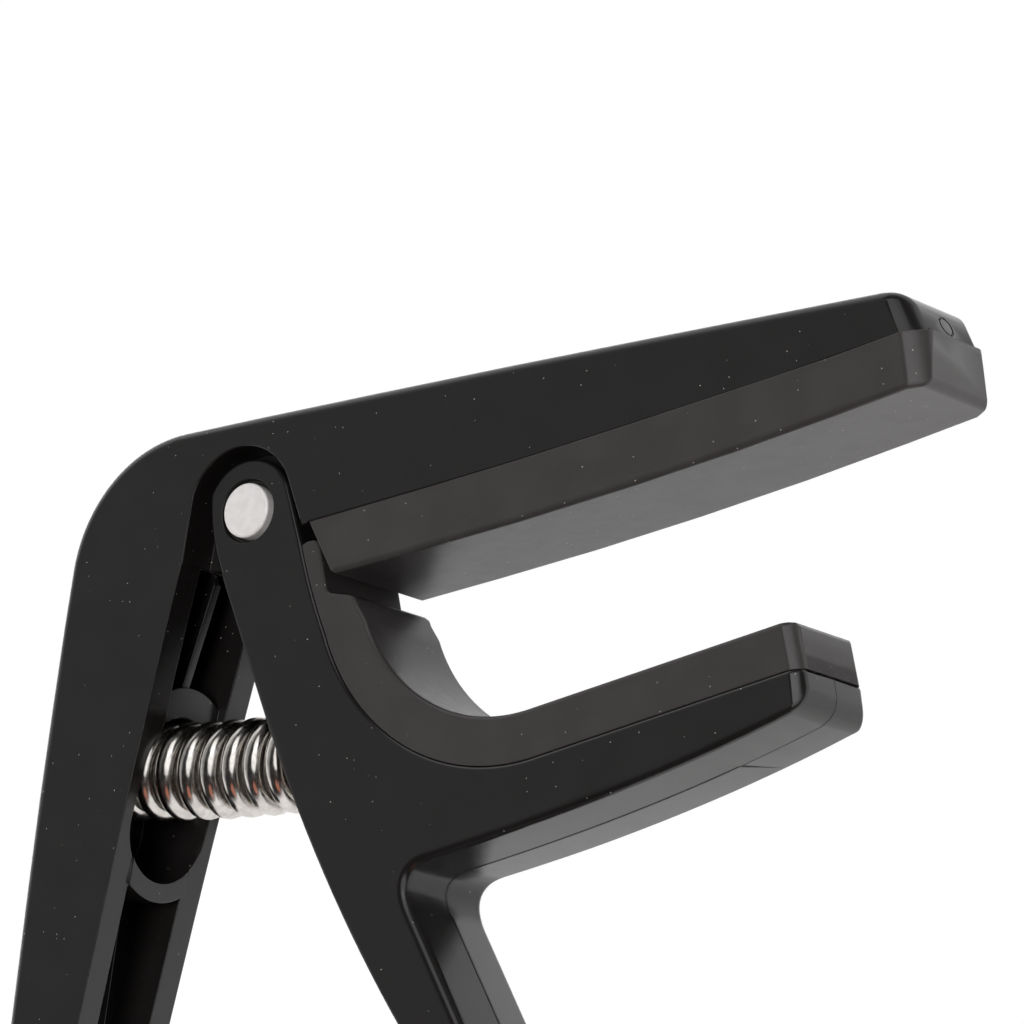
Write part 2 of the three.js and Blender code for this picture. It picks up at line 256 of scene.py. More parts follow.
def outward(points, i):
    """Direction in which an outline's point moves so that both its walls move out by 1."""
    here, before, after = (Vector(points[j % len(points)][:2]) for j in (i, i - 1, i + 1))
    first, second = (here - before).normalized(), (after - here).normalized()
    one, other = Vector((first.y, -first.x)), Vector((second.y, -second.x))
    return (one + other) / max(1 + one.dot(other), LEAST_MITRE)


RIM_STEPS = 5
SEAM = {"half": 0.07, "depth": 0.09}


def prism(points, bottom, top, seam=False):
    """Closed body of a side outline between two heights, with its rims rounded over."""
    area = sum(a[0] * b[1] - b[0] * a[1] for a, b in zip(points, points[1:] + points[:1]))
    if area < 0:
        points = points[::-1]
    middle = (bottom + top) / 2
    bends = [math.radians(90 * i / RIM_STEPS) for i in range(RIM_STEPS + 1)]
    # Each level has a height, the shares of the rim that lift it and set it in, the share of the
    # crest that swells it out, and the depth of its groove.
    levels = [(bottom, 1 - math.cos(bend), 1 - math.sin(bend), 0, 0) for bend in bends]
    if seam:
        for side, depth in ((-1, 0), (0, SEAM["depth"]), (1, 0)):
            levels.append((middle + side * SEAM["half"], 0, 0, 1, depth))
    levels += [(top, math.cos(bend) - 1, 1 - math.sin(bend), 0, 0) for bend in bends[::-1]]
    mesh = bmesh.new()
    rings = []
    for height, lift, inset, swell, groove in levels:
        ring = []
        for i, (x, y, rim, crest) in enumerate(points):
            out = swell * crest - inset * rim - (groove if crest else 0)
            place = Vector((x, y)) + outward(points, i) * out
            ring.append(mesh.verts.new((place.x, place.y, height + rim * lift)))
        rings.append(ring)
    count = len(points)
    for low, high in zip(rings, rings[1:]):
        for i in range(count):
            j = (i + 1) % count
            mesh.faces.new((low[i], low[j], high[j], high[i]))
    mesh.faces.new(rings[0][::-1])
    mesh.faces.new(rings[-1])
    bmesh.ops.remove_doubles(mesh, verts=mesh.verts, dist=WELD)
    return mesh


TIP_CUTS = 8


def narrow(mesh, taper, inset=0.0, slope=(0.0, 0.0)):
    """Narrows a body along its arm towards a tip whose corners are part chamfer, part round.

    The slope leans the cuts with the tip's face: how much for each unit of Y, and from which Y.
    """
    along = Vector((math.cos(taper["lean"]), math.sin(taper["lean"]), 0))
    normal = along + Vector((0, slope[0], 0))
    base = Vector((0, slope[1], 0))
    round_start = taper["tip"] - taper["corner"]
    cuts = [taper["start"]]
    if taper["corner"]:
        bends = [math.radians(90 * i / TIP_CUTS) for i in range(TIP_CUTS)]
        cuts += [round_start + taper["corner"] * math.sin(bend) for bend in bends]
    for cut in cuts:
        bmesh.ops.bisect_plane(
            mesh,
            geom=mesh.verts[:] + mesh.edges[:] + mesh.faces[:],
            plane_co=base + along * cut,
            plane_no=normal,
            dist=CUT_TOLERANCE,
        )
    root_half = taper["root"] / 2 - inset
    for vert in mesh.verts:
        reach = (Vector((vert.co.x, vert.co.y, 0)) - base).dot(normal)
        half = root_half
        if reach > taper["start"]:
            share = min(1, (reach - taper["start"]) / (taper["tip"] - taper["start"]))
            half += (taper["end"] - taper["root"]) / 2 * share
        past = reach - round_start
        if taper["corner"] and past > 0:
            round_cut = taper["corner"] - math.sqrt(max(taper["corner"] ** 2 - past ** 2, 0))
            half -= (round_cut + min(past, taper["corner"])) / 2
        vert.co.z = MIDDLE + (vert.co.z - MIDDLE) * half / root_half


def centred(points, width, **more):
    """Prism of a given width about MIDDLE."""
    return prism(points, MIDDLE - width / 2, MIDDLE + width / 2, **more)


def plain(corners):
    """Outline through bare (x, y) corners."""
    return [(x, y, 0.0, 0.0) for x, y in corners]


def plug(radius, bottom, top):
    """Round plug about the pivot axis."""
    return prism(circle(radius, 5), bottom, top)


def drilled(floor, direction, width, length, depth):
    """Round or round-ended hole drilled from a floor point along a direction in the XY plane."""
    if length > width:
        straight = (length - width) / 2
        mouth = arc(straight, 0, width / 2, -90, 90, 0.0) + arc(-straight, 0, width / 2, 90, 270, 0.0)
    else:
        mouth = circle(width / 2, 6)
    mesh = prism(mouth, 0, depth)
    along = Vector((math.cos(direction), math.sin(direction), 0))
    up = Vector((0, 0, 1))
    basis = Matrix((up.cross(along), up, along)).transposed().to_4x4()
    mesh.transform(Matrix.Translation((*floor, MIDDLE)) @ basis)
    bmesh.ops.recalc_face_normals(mesh, faces=mesh.faces)
    return mesh


def turned(profile, steps, closed=False):
    """Body of (radius, height) points turned about the Z axis."""
    mesh = bmesh.new()
    turns = [2 * math.pi * i / steps for i in range(steps)]
    rings = []
    for radius, height in profile:
        if radius:
            places = [(radius * math.cos(turn), radius * math.sin(turn), height) for turn in turns]
            rings.append([mesh.verts.new(place) for place in places])
        else:
            rings.append([mesh.verts.new((0, 0, height))] * steps)
    following = rings[1:] + rings[:1] if closed else rings[1:]
    for ring, other in zip(rings, following):
        for i in range(steps):
            j = (i + 1) % steps
            corners = dict.fromkeys((ring[i], ring[j], other[j], other[i]))
            mesh.faces.new(tuple(corners))
    bmesh.ops.recalc_face_normals(mesh, faces=mesh.faces)
    return mesh


def object_of(name, mesh):
    """Object in the scene, from a mesh that is freed."""
    data = bpy.data.meshes.new(name)
    mesh.to_mesh(data)
    mesh.free()
    made = bpy.data.objects.new(name, data)
    bpy.context.scene.collection.objects.link(made)
    return made


def settle(body):
    """Turns a piece's modifiers into its own mesh."""
    settled = bpy.data.meshes.new_from_object(body.evaluated_get(bpy.context.evaluated_depsgraph_get()))
    body.modifiers.clear()
    body.data = settled
    settled.name = body.name


def combine(body, operation, tool):
    """Adds, cuts or trims a body by a tool, which is a mesh or another body."""
    if isinstance(tool, bmesh.types.BMesh):
        tool = object_of("tool", tool)
    step = body.modifiers.new("step", "BOOLEAN")
    step.operation = operation
    step.object = tool
    step.solver = "EXACT"
    bpy.context.view_layer.update()
    settle(body)
    bpy.data.objects.remove(tool)


SHARP_EDGE = math.radians(38)
SMALL_ROUNDING = 0.12
ROUNDED_UP_TO = 40


def finish_edges(body, width=0.0):
    """Rounds the edges that cuts left sharp, short of the arms' tips, and evens the shading."""
    mesh = bmesh.new()
    mesh.from_mesh(body.data)
    bmesh.ops.remove_doubles(mesh, verts=mesh.verts, dist=CUT_WELD)
    bmesh.ops.dissolve_limit(
        mesh,
        angle_limit=FLAT_ANGLE,
        verts=mesh.verts,
        edges=mesh.edges,
        use_dissolve_boundaries=False,
    )
    weights = mesh.edges.layers.float.new("bevel_weight_edge")
    for edge in mesh.edges:
        middle = (edge.verts[0].co + edge.verts[1].co) / 2
        if middle.x < ROUNDED_UP_TO and edge.calc_face_angle(0) > SHARP_EDGE:
            edge[weights] = 1
    bmesh.ops.transform(mesh, matrix=TO_FRAME, verts=mesh.verts)
    for face in mesh.faces:
        face.smooth = True
    mesh.to_mesh(body.data)
    mesh.free()
    if width:
        bevel = body.modifiers.new("small rounding", "BEVEL")
        bevel.width = width * MM
        bevel.segments = 2
        bevel.limit_method = "WEIGHT"
        bevel.use_clamp_overlap = False
        bevel.miter_outer = "MITER_ARC"
    weigh = body.modifiers.new("flat faces stay flat", "WEIGHTED_NORMAL")
    weigh.weight = 100
    weigh.keep_sharp = False
    bpy.context.view_layer.update()
    settle(body)


def bar_seat(tip_x, rim):
    """Corners of the line where the string pad meets the bar, from the root to the tip."""
    bends = [(*bend, rim) for bend in BAR_SEAT_BENDS]
    return [(*BAR_ROOT, 0, rim), *bends, (tip_x, BAR_TIP["y"], 0, rim)]


def build_frame():
    """String bar and outer handle, hollowed by a channel, with a rib, the coil's cup and the web."""
    outer, inner, thin = 0.85, 0.12, 0.1
    points = rounded([
        (BAR_TIP["top_x"], BAR_TIP["top"], BAR_TIP["radius"], (thin, outer)),
        (*BAR_TOP_BEND, outer),
        (*FRAME_CORNER, outer),
        (*HANDLE_OUTER_BEND, outer),
        (HANDLE_END["outer_x"], HANDLE_END["y"], HANDLE_END["radius"], outer),
        (HANDLE_END["inner_x"], HANDLE_END["y"], HANDLE_END["radius"], inner),
        (*HANDLE_INNER_BEND, inner),
        *[(*corner, 0, 0) for corner in (HANDLE_INNER_TOP, *WEB_FOOT)],
        *bar_seat(BAR_TIP["x"], thin),
    ], step=3)
    shape = centred(points, FRAME_WIDTH)
    tip_slope = (BAR_TIP["x"] - BAR_TIP["top_x"]) / (BAR_TIP["top"] - BAR_TIP["y"])
    narrow(shape, BAR_TAPER, slope=(tip_slope, BAR_TIP["y"]))
    narrow(shape, HANDLE_TAPER)
    body = object_of("capo_frame", shape)

    floor_end = on_handle(CHANNEL["to"], HANDLE_FLOOR)
    channel = centred(rounded([
        (*on_handle(CHANNEL["from"], HANDLE_FLOOR), CHANNEL["corner"], 0),
        (*floor_end, CHANNEL["corner"], 0),
        (CHANNEL["mouth_x"], floor_end[1], 0, 0),
        (*CHANNEL["mouth_top"], 0, 0),
    ]), FRAME_WIDTH - 2 * FRAME_WALL)
    narrow(channel, HANDLE_TAPER, FRAME_WALL)
    combine(body, "DIFFERENCE", channel)

    root = HANDLE_FLOOR - OVERLAP
    rib = plain([
        on_handle(CHANNEL["from"] - OVERLAP, root),
        on_handle(CUP_RIM["from"] + 2 * OVERLAP, root),
        *RIB_TOP,
    ])
    combine(body, "UNION", centred(rib, RIB_THICKNESS))

    wall = FRAME_WALL - CUP_RIM_BITE
    block = centred(plain([
        on_handle(CUP_RIM["from"] - 2 * OVERLAP, root),
        on_handle(CUP_RIM["to"] + 2 * OVERLAP, root),
        on_handle(CUP_RIM["to"], CUP_RIM["top_to"]),
        on_handle(CUP_RIM["from"], CUP_RIM["top_from"]),
    ]), FRAME_WIDTH - 2 * wall)
    narrow(block, HANDLE_TAPER, wall)
    boss = object_of("boss", block)
    middle = on_handle((CUP_RIM["from"] + CUP_RIM["to"]) / 2, root)
    length = CUP_RIM["to"] - CUP_RIM["from"]
    combine(boss, "INTERSECT", drilled(middle, -HANDLE_LEAN, CUP_RIM["width"], length, HOLE_DEPTH))
    combine(body, "UNION", boss)

    floor = on_handle((CUP["from"] + CUP["to"]) / 2, HANDLE_FLOOR)
    bore = drilled(floor, -HANDLE_LEAN, CUP["width"], CUP["to"] - CUP["from"], HOLE_DEPTH)
    combine(body, "DIFFERENCE", bore)

    depth = (FRAME_WIDTH - WEB_WIDTH) / 2
    pocket = arc(0, 0, POCKET_RADIUS, *POCKET_ARC, 0.0, step=3) + plain(POCKET_MOUTH)
    for bottom, top in ((-OVERCUT, depth), (FRAME_WIDTH - depth, FRAME_WIDTH + OVERCUT)):
        combine(body, "DIFFERENCE", prism(pocket, bottom, top))
    combine(body, "UNION", plug(WEB_RADIUS, MIDDLE - WEB_WIDTH / 2, MIDDLE + WEB_WIDTH / 2))
    combine(body, "DIFFERENCE", plug(PIN_RADIUS + PIN_SLACK, 0, FRAME_WIDTH))
    combine(body, "DIFFERENCE", gate_mark())
    finish_edges(body, SMALL_ROUNDING)
    return body


GATE_MARK = {"y": -2.0, "radius": 0.9, "width": 0.22, "depth": 0.14, "steps": 32}


def gate_mark():
    """Ring cut at mid-width into the arm's end, where the plastic was fed into the mould."""
    fall = BAR_TIP["top"] - BAR_TIP["y"]
    overhang = BAR_TIP["x"] - BAR_TIP["top_x"]
    x = BAR_TIP["x"] - overhang * (GATE_MARK["y"] - BAR_TIP["y"]) / fall
    inner, outer = GATE_MARK["radius"] - GATE_MARK["width"], GATE_MARK["radius"]
    floor = -GATE_MARK["depth"]
    section = [(inner, floor), (outer, floor), (outer, OVERCUT), (inner, OVERCUT)]
    mesh = turned(section, GATE_MARK["steps"], closed=True)
    lean = Matrix.Rotation(math.atan2(overhang, fall), 4, "Z")
    facing = lean @ Matrix.Rotation(math.pi / 2, 4, "Y")
    mesh.transform(Matrix.Translation((x, GATE_MARK["y"], MIDDLE)) @ facing)
    return mesh


def saddle_top():
    """Upper end of the saddle that the neck pad lies in."""
    angle = math.radians(SADDLE["high"])
    radius = SADDLE["lever_radius"]
    return SADDLE["x"] + radius * math.cos(angle), SADDLE["y"] + radius * math.sin(angle)


def build_lever():
    """Lower jaw and inner handle, with two ears, two walls and a bore for the coil."""
    tip, low, seat = JAW_TIP["x"], JAW_TIP["bottom"], JAW_TIP["seat"]
    ear_rim, back_rim, handle_rim, jaw_rim = 0.35, 0.3, 0.9, 0.7
    handle_crest, jaw_crest = 0.34, 0.16
    reveal = 0.38
    points = arc(0, 0, EAR_RADIUS, *EAR_ARC, ear_rim, step=5)
    points += curve(points[-1], (-4.15, -0.8), (-3.3, -4.4), ear_rim)
    points += curve(points[-1], (-3.1, -5.7), (-0.1, -18), back_rim)
    points += curve(points[-1], (5.3, -39.3), (16.6, -57.3), back_rim, count=22)
    points += curve(points[-1], (17.2, -58.9), (18.3, -58.6), (back_rim, 0.85), count=6)
    points += curve(points[-1], (20.0, -58.2), (19.4, -56.6), handle_rim, handle_crest, count=6)
    points += [(12.0, -36.2, handle_rim, handle_crest)]
    points += curve(points[-1], (10.8, -32.7), (14.2, -32.5), (handle_rim, jaw_rim), jaw_crest, count=12)
    points += curve(points[-1], (33, -32.2), (tip - 1.6, low), (jaw_rim, 0.6), jaw_crest, count=24)
    points += curve(points[-1], (tip - 0.2, low + 0.3), (tip, low + 1.8), (0.5, 0.12), 0.1, count=8)
    points += [(tip, seat - 0.3, 0.15, 0.03), (tip - 0.2, seat, reveal, 0)]
    points += arc(SADDLE["x"], SADDLE["y"], SADDLE["lever_radius"], -90, SADDLE["high"], reveal, step=3)
    points += curve(saddle_top(), LIP["bend"], (LIP["left"], LIP["top"]), reveal, count=8)
    shape = centred(points, LEVER_WIDTH, seam=True)
    narrow(shape, JAW_TAPER)
    body = object_of("capo_lever", shape)

    between = LEVER_WIDTH - 2 * EAR_THICKNESS
    combine(body, "DIFFERENCE", centred(plain(LEVER_CAVITY), between))
    bore_width = 2 * LEVER_BORE["radius"]
    bore = drilled(on_coil(COIL_TO), COIL_TO - math.pi / 2, bore_width, 0, LEVER_BORE["length"])
    combine(body, "DIFFERENCE", bore)
    combine(body, "DIFFERENCE", plug(WEB_CLEARANCE_RADIUS, MIDDLE - between / 2, MIDDLE + between / 2))
    combine(body, "DIFFERENCE", plug(EAR_BORE_RADIUS, 0, FRAME_WIDTH))
    recess = (FRAME_WIDTH - LEVER_WIDTH) / 2 + EAR_RECESS["depth"]
    for bottom, top in ((0, recess), (FRAME_WIDTH - recess, FRAME_WIDTH)):
        combine(body, "DIFFERENCE", plug(EAR_RECESS["radius"], bottom, top))
    finish_edges(body, SMALL_ROUNDING)
    return body


def build_string_pad():
    """Block under the string bar, whose working face is one gentle crown."""
    thin, soft = 0.08, 0.5
    points = rounded([
        (PAD_LEFT, PAD_END_FACE, PAD_CORNERS["left"], (thin, soft)),
        (PAD_CROWN["from"], PAD_CROWN["y"], PAD_CROWN["radius"], soft),
        (PAD_CROWN["to"], PAD_CROWN["y"], PAD_CROWN["radius"], soft),
        (PAD_RIGHT, PAD_END_FACE, PAD_CORNERS["right"], (soft, thin)),
        *bar_seat(PAD_TIP_X, thin)[::-1],
    ])
    shape = centred(points, FRAME_WIDTH - 2 * PAD_INSET)
    narrow(shape, PAD_TAPER, PAD_INSET)
    body = object_of("capo_string_pad", shape)
    finish_edges(body)
    return body


def build_neck_pad():
    """Strip that lines the lever's saddle, with a step and a lip at its upper end."""
    thin, soft = 0.08, 0.4
    end_x, end_y = NECK_FACE["to"]
    points = arc(SADDLE["x"], SADDLE["y"], SADDLE["lever_radius"], SADDLE["high"], -90, thin, step=3)
    points += [
        (JAW_TIP["x"], JAW_TIP["seat"], thin, 0),
        (end_x + 0.1, end_y - 0.5, thin, 0),
        (end_x - 0.15, end_y - 0.12, 0.2, 0),
        (end_x - 0.6, end_y - 0.02, soft, 0),
        (*NECK_FACE["from"], soft, 0),
    ]
    low, high = SADDLE["pad_low"], SADDLE["pad_high"]
    points += arc(SADDLE["x"], SADDLE["y"], SADDLE["pad_radius"], low, high, soft, step=3)
    # The step and the lip, whose corners are eased by a point or two beside them.
    points += [
        (STEP["right"] + 0.1, STEP["right_y"] - 0.8, 0.35, 0),
        (STEP["right"] - 0.05, STEP["right_y"] - 0.3, 0.3, 0),
        (STEP["right"] - 0.4, STEP["right_y"] + 0.05, 0.3, 0),
        (STEP["left"] + 0.3, STEP["left_y"] - 0.08, 0.25, 0),
        (STEP["left"] - 0.05, STEP["left_y"] + 0.3, 0.25, 0),
        (LIP["right"], LIP["top"] - 0.6, 0.25, 0),
        (LIP["right"] - 0.15, LIP["top"] - 0.2, 0.25, 0),
        (LIP["right"] - 0.5, LIP["top"], 0.2, 0),
        (LIP["left"] + 0.5, LIP["top"] + 0.05, 0.15, 0),
        (LIP["left"], LIP["top"] - 0.15, thin, 0),
    ]
    points += curve(points[-1], LIP["bend"], saddle_top(), thin, count=8)[:-1]
    shape = centred(points, LEVER_WIDTH - 2 * PAD_INSET)
    end_slope = (JAW_TIP["x"] - end_x) / (end_y - JAW_TIP["seat"])
    narrow(shape, JAW_TAPER, PAD_INSET, slope=(end_slope, JAW_TIP["seat"]))
    body = object_of("capo_neck_pad", shape)
    finish_edges(body)
    return body


PIN_EDGE_STEPS = 4
PIN_STEPS = 72


def build_pin():
    """Pin with slightly rounded ends, turned about the pivot axis."""
    half = PIN_LENGTH / 2
    profile = [(0.0, half + PIN_CROWN), (PIN_RADIUS * 0.6, half + PIN_CROWN * 0.75)]
    for i in range(PIN_EDGE_STEPS, -1, -1):
        bend = math.radians(90 * i / PIN_EDGE_STEPS)
        radius = PIN_RADIUS - PIN_EDGE * (1 - math.cos(bend))
        profile.append((radius, half - PIN_EDGE * (1 - math.sin(bend))))
    profile += [(radius, -height) for radius, height in profile[::-1]]
    mesh = turned([(radius, MIDDLE + height) for radius, height in profile], PIN_STEPS)
    body = object_of("capo_pivot_pin", mesh)
    finish_edges(body)
    return body


def coil_point(t):
    """Point on the wire's centre line, at a share of its length."""
    inset = (COIL["wire"] + COIL_SEAT_GAP) / COIL["radius"]
    along = COIL_FROM + inset + (COIL_TO - COIL_FROM - 2 * inset) * t
    turn = 2 * math.pi * COIL["turns"] * t
    radius = COIL["radius"] + COIL["mean"] * math.cos(turn)
    return Vector((*on_coil(along, radius), MIDDLE + COIL["mean"] * math.sin(turn)))


WIRE_SIDES = 16
COIL_STEPS_PER_TURN = 28

# Share of the wire on each side of a point over which its direction is taken.
NEARBY = 1e-4


def build_spring():
    """Wire swept along the coil. Each ring of the wire bends with the joint as one."""
    steps = round(COIL["turns"] * COIL_STEPS_PER_TURN)
    mesh = bmesh.new()
    rings = []
    for i in range(steps + 1):
        t = i / steps
        place = coil_point(t)
        ahead = (coil_point(min(t + NEARBY, 1)) - coil_point(max(t - NEARBY, 0))).normalized()
        centre = Vector((*on_coil(COIL_FROM + (COIL_TO - COIL_FROM) * t), MIDDLE))
        side = (place - centre).normalized()
        side = (side - ahead * side.dot(ahead)).normalized()
        other = ahead.cross(side)
        ring = []
        for j in range(WIRE_SIDES):
            angle = 2 * math.pi * j / WIRE_SIDES
            out = side * math.cos(angle) + other * math.sin(angle)
            ring.append(mesh.verts.new(place + COIL["wire"] * out))
        rings.append(ring)
    for low, high in zip(rings, rings[1:]):
        for j in range(WIRE_SIDES):
            k = (j + 1) % WIRE_SIDES
            mesh.faces.new((low[j], low[k], high[k], high[j]))
    mesh.faces.new(rings[0][::-1])
    mesh.faces.new(rings[-1])
    bmesh.ops.transform(mesh, matrix=TO_FRAME, verts=mesh.verts)
    bmesh.ops.recalc_face_normals(mesh, faces=mesh.faces)
    for face in mesh.faces:
        face.smooth = len(face.verts) == 4
    body = object_of("capo_spring", mesh)
    start, end = (TO_FRAME @ coil_point(t) for t in (0, 1))
    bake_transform(body, "frame_body", "lever_body", start=start, end=end)
    weights = body.data.attributes["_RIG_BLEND"]
    for i in range(len(body.data.vertices)):
        weights.data[i].value = min(1, (i // WIRE_SIDES) / steps)
    return body


# Materials.

def new_material(name):
    """Material, with its nodes, its links and its shader."""
    made = bpy.data.materials.new(name)
    made.use_nodes = True
    nodes = made.node_tree.nodes
    return made, nodes, made.node_tree.links, nodes["Principled BSDF"]


def ramp(nodes, stops):
    """Smooth ramp through stops of a place and a grey value or a colour."""
    made = nodes.new("ShaderNodeValToRGB")
    made.color_ramp.interpolation = "EASE"
    elements = made.color_ramp.elements
    while len(elements) < len(stops):
        elements.new(0.5)
    for element, (place, value) in zip(elements, stops):
        element.position = place
        element.color = (*value, 1) if isinstance(value, tuple) else (value, value, value, 1)
    return made


def noise(nodes, links, where, scale, detail=4, rough=0.5):
    """Cloudy noise with about scale clouds to a metre."""
    made = nodes.new("ShaderNodeTexNoise")
    made.inputs["Scale"].default_value = scale
    made.inputs["Detail"].default_value = detail
    made.inputs["Roughness"].default_value = rough
    links.new(where, made.inputs["Vector"])
    return made.outputs["Fac"]


DUST = {"cells": 1500, "radius": 0.065 * MM, "share": 0.2}


def dust(nodes, links, where):
    """Sparse specks: small spots round a share of the points of a loose lattice."""
    spots = nodes.new("ShaderNodeTexVoronoi")
    spots.inputs["Scale"].default_value = DUST["cells"]
    links.new(where, spots.inputs["Vector"])
    radius = DUST["radius"] * DUST["cells"]
    near = nodes.new("ShaderNodeMapRange")
    near.inputs["From Min"].default_value = radius
    near.inputs["From Max"].default_value = radius / 2
    links.new(spots.outputs["Distance"], near.inputs["Value"])
    chosen = nodes.new("ShaderNodeSeparateColor")
    links.new(spots.outputs["Color"], chosen.inputs["Color"])
    keep = nodes.new("ShaderNodeMath")
    keep.operation = "LESS_THAN"
    keep.inputs[1].default_value = DUST["share"]
    links.new(chosen.outputs["Red"], keep.inputs[0])
    both = nodes.new("ShaderNodeMath")
    both.operation = "MULTIPLY"
    links.new(near.outputs["Result"], both.inputs[0])
    links.new(keep.outputs["Value"], both.inputs[1])
    return both.outputs["Value"]


def bump(nodes, links, height, depth, before=None):
    """Relief of a given depth, on top of an earlier relief where there is one."""
    made = nodes.new("ShaderNodeBump")
    made.inputs["Distance"].default_value = depth
    links.new(height, made.inputs["Height"])
    if before:
        links.new(before, made.inputs["Normal"])
    return made.outputs["Normal"]


# Noise scales of the moulded surfaces and of the metals.
MOULDED = {"tone": 260, "gloss": 700, "grain": 5200, "waves": 330}
METAL = {"tone": 1300, "gloss": 2600, "scratch": 3800}


def moulded(name, dark, light, rough, speck, grain, waves):
    """Moulded surface: fine grain, faint flow waves, uneven gloss and stray dust."""
    made, nodes, links, shader = new_material(name)
    where = nodes.new("ShaderNodeTexCoord").outputs["Object"]
    tone = ramp(nodes, [(0.3, dark), (0.75, light)])
    links.new(noise(nodes, links, where, MOULDED["tone"], 5), tone.inputs["Fac"])
    mix = nodes.new("ShaderNodeMix")
    mix.data_type = "RGBA"
    links.new(dust(nodes, links, where), mix.inputs["Factor"])
    links.new(tone.outputs["Color"], mix.inputs["A"])
    mix.inputs["B"].default_value = (*speck, 1)
    links.new(mix.outputs["Result"], shader.inputs["Base Color"])
    gloss = ramp(nodes, [(0.2, rough - 0.015), (0.8, rough + 0.03)])
    links.new(noise(nodes, links, where, MOULDED["gloss"], 3), gloss.inputs["Fac"])
    links.new(gloss.outputs["Color"], shader.inputs["Roughness"])
    fine = bump(nodes, links, noise(nodes, links, where, MOULDED["grain"], 2), grain)
    both = bump(nodes, links, noise(nodes, links, where, MOULDED["waves"], 2), waves, fine)
    links.new(both, shader.inputs["Normal"])
    return made


def metal(name, colour, shade, rough, scratch, share=1):
    """Metal with uneven tone and gloss and fine scratches, mirroring by a share."""
    made, nodes, links, shader = new_material(name)
    where = nodes.new("ShaderNodeTexCoord").outputs["Object"]
    tone = ramp(nodes, [(0.35, shade), (0.65, colour)])
    links.new(noise(nodes, links, where, METAL["tone"], 6, 0.6), tone.inputs["Fac"])
    links.new(tone.outputs["Color"], shader.inputs["Base Color"])
    shader.inputs["Metallic"].default_value = share
    gloss = ramp(nodes, [(0.3, rough * 0.8), (0.7, rough * 1.2)])
    links.new(noise(nodes, links, where, METAL["gloss"]), gloss.inputs["Fac"])
    links.new(gloss.outputs["Color"], shader.inputs["Roughness"])
    fine = bump(nodes, links, noise(nodes, links, where, METAL["scratch"], 3), scratch)
    links.new(fine, shader.inputs["Normal"])
    return made


def dress(body, material):
    """Gives a piece its one material."""
    body.data.materials.clear()
    body.data.materials.append(material)


plastic = moulded(
    "black satin plastic",
    dark=(0.0072, 0.0065, 0.0062),
    light=(0.0091, 0.0082, 0.0079),
    rough=0.2,
    speck=(0.28, 0.26, 0.23),
    grain=0.002 * MM,
    waves=0.004 * MM,
)
rubber = moulded(
    "dark rubber",
    dark=(0.0295, 0.0257, 0.0257),
    light=(0.036, 0.0322, 0.0322),
    rough=0.31,
    speck=(0.4, 0.36, 0.32),
    grain=0.006 * MM,
    waves=0.028 * MM,
)
nickel = metal(
    "bright spring steel",
    colour=(0.76, 0.73, 0.69),
    shade=(0.6, 0.57, 0.54),
    rough=0.2,
    scratch=0.001 * MM,
)
steel = metal(
    "matt pin steel",
    colour=(0.8, 0.775, 0.765),
    shade=(0.73, 0.705, 0.695),
    rough=0.45,
    scratch=0.003 * MM,
    share=0.25,
)

frame_piece = build_frame()
lever_piece = build_lever()
string_pad = build_string_pad()
neck_pad = build_neck_pad()
pin = build_pin()
spring = build_spring()

dress(frame_piece, plastic)
dress(lever_piece, plastic)
dress(string_pad, rubber)
dress(neck_pad, rubber)
dress(pin, steel)
dress(spring, nickel)

for piece, body, node in (
    (frame_piece, "frame_body", "frame"),
    (string_pad, "frame_body", "string_pad"),
    (pin, "frame_body", "pivot_pin"),
    (lever_piece, "lever_body", "lever"),
    (neck_pad, "lever_body", "neck_pad"),
):
    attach(piece, body)
    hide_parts(node)
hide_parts("spring")


# Studio: a white table under the part, a bright wall behind it that fades upwards, and a dark room.

FLOOR_SIZE = 4
FLOOR_ROUGHNESS = 0.9


def add_floor(name, depth, colour, glow):
    """Level square a small depth below the part, with a grey of its own and a white glow."""
    mesh = bmesh.new()
    bmesh.ops.create_grid(mesh, x_segments=1, y_segments=1, size=FLOOR_SIZE)
    floor = object_of(name, mesh)
    floor.location.z = -depth
    made, _, _, shader = new_material(name)
    shader.inputs["Base Color"].default_value = (colour, colour, colour, 1)
    shader.inputs["Roughness"].default_value = FLOOR_ROUGHNESS
    shader.inputs["Emission Color"].default_value = (1, 1, 1, 1)
    shader.inputs["Emission Strength"].default_value = glow
    floor.data.materials.append(made)
    return floor


def add_floors():
    """White backdrop that is only seen directly, and a table that only lights and mirrors in the part."""
    backdrop = add_floor("white_backdrop", depth=0.2 * MM, colour=0, glow=1)
    backdrop.visible_diffuse = False
    backdrop.visible_glossy = False
    backdrop.visible_shadow = False
    table = add_floor("white_table", depth=0.3 * MM, colour=0.9, glow=0.16)
    table.visible_camera = False


# Direction of the bright wall.
WALL_SIDE = math.radians(149)


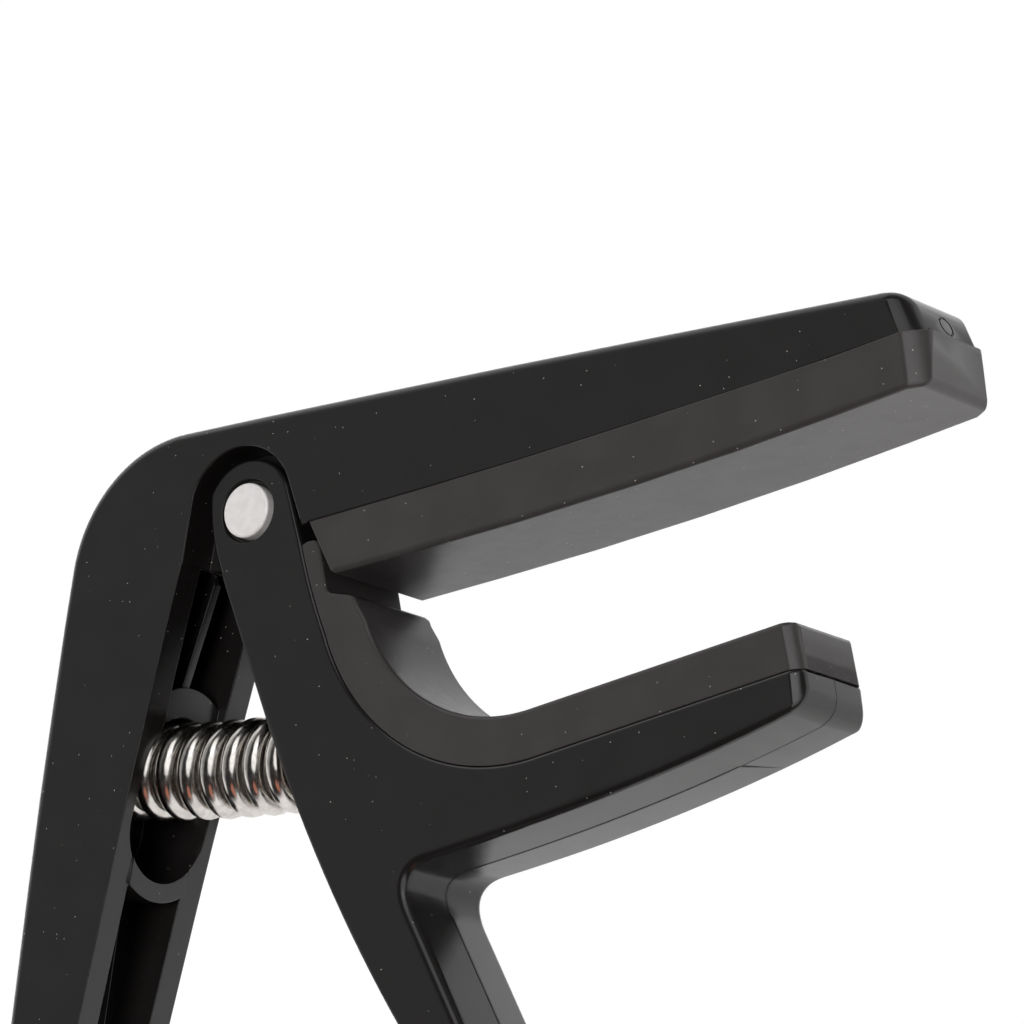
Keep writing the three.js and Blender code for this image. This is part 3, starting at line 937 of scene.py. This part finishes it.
def add_surroundings():
    """World that is the wall where it faces WALL_SIDE and the room elsewhere, by height."""
    world = bpy.data.worlds.new("studio")
    bpy.context.scene.world = world
    world.use_nodes = True
    nodes, links = world.node_tree.nodes, world.node_tree.links
    where = nodes.new("ShaderNodeTexCoord").outputs["Generated"]
    height = nodes.new("ShaderNodeSeparateXYZ")
    links.new(where, height.inputs["Vector"])
    facing = nodes.new("ShaderNodeVectorMath")
    facing.operation = "DOT_PRODUCT"
    facing.inputs[1].default_value = (math.cos(WALL_SIDE), math.sin(WALL_SIDE), 0)
    links.new(where, facing.inputs[0])
    behind = ramp(nodes, [(0.28, 0.0), (0.48, 1.0)])
    links.new(facing.outputs["Value"], behind.inputs["Fac"])
    wall = ramp(nodes, [(0.0, 1.3), (0.4, 1.0), (0.62, 0.42), (0.85, 0.34), (1.0, 0.1)])
    room = ramp(nodes, [(0.0, 0.8), (0.1, 0.3), (0.2, 0.03), (1.0, 0.03)])
    for shade in (wall, room):
        links.new(height.outputs["Z"], shade.inputs["Fac"])
    mix = nodes.new("ShaderNodeMix")
    mix.data_type = "RGBA"
    links.new(behind.outputs["Color"], mix.inputs["Factor"])
    links.new(room.outputs["Color"], mix.inputs["A"])
    links.new(wall.outputs["Color"], mix.inputs["B"])
    links.new(mix.outputs["Result"], nodes["Background"].inputs["Color"])


LAMP_DISTANCE = 0.6
LAMP_TARGET = Vector((0.03, -0.02, 0))


def add_lamp(name, azimuth, elevation, size, radiance, colour=(1, 1, 1)):
    """Round soft box in a direction given in degrees, of a given radiance at any size."""
    turn, lift = math.radians(azimuth), math.radians(elevation)
    towards = Vector((math.cos(lift) * math.cos(turn), math.cos(lift) * math.sin(turn), math.sin(lift)))
    data = bpy.data.lights.new(name, "AREA")
    data.shape = "DISK"
    data.size = size
    data.energy = radiance * math.pi * (math.pi * size ** 2 / 4)
    data.color = colour
    lamp = bpy.data.objects.new(name, data)
    lamp.location = LAMP_TARGET + towards * LAMP_DISTANCE
    lamp.rotation_euler = (-towards).to_track_quat("-Z", "Y").to_euler()
    bpy.context.scene.collection.objects.link(lamp)
    return lamp


VIEW = {
    "aim": Vector((31.94, -5.19, 6.2)) * MM,
    "distance": 493.55 * MM,
    "azimuth": math.radians(-30.9),
    "elevation": math.radians(51.7),
    "roll": math.radians(-71.0),
    "lens": 220.43,
}


def add_camera():
    """Camera that looks at the aim from VIEW's direction, rolled about its line of sight."""
    level = math.cos(VIEW["elevation"])
    back = Vector((
        level * math.cos(VIEW["azimuth"]),
        level * math.sin(VIEW["azimuth"]),
        math.sin(VIEW["elevation"]),
    ))
    level_right = Vector((0, 0, 1)).cross(back).normalized()
    level_up = back.cross(level_right)
    right = level_right * math.cos(VIEW["roll"]) + level_up * math.sin(VIEW["roll"])
    up = back.cross(right)
    data = bpy.data.cameras.new("camera")
    data.lens = VIEW["lens"]
    data.clip_start = 0.01
    camera = bpy.data.objects.new("camera", data)
    turn = Matrix((right, up, back)).transposed().to_4x4()
    camera.matrix_world = Matrix.Translation(VIEW["aim"] + back * VIEW["distance"]) @ turn
    bpy.context.scene.collection.objects.link(camera)
    bpy.context.scene.camera = camera


add_floors()
add_surroundings()
key = add_lamp("broad key", azimuth=-31, elevation=72, size=0.25, radiance=20)
key.visible_glossy = False
add_lamp("soft card", azimuth=40, elevation=45, size=0.4, radiance=1.3)
front = add_lamp("front card", azimuth=-8, elevation=50, size=0.6, radiance=1.3)
front.visible_diffuse = False
add_lamp("warm card", azimuth=-84, elevation=24, size=0.3, radiance=0.5, colour=(1, 0.36, 0.22))
add_camera()
bpy.context.scene.view_settings.view_transform = "Standard"
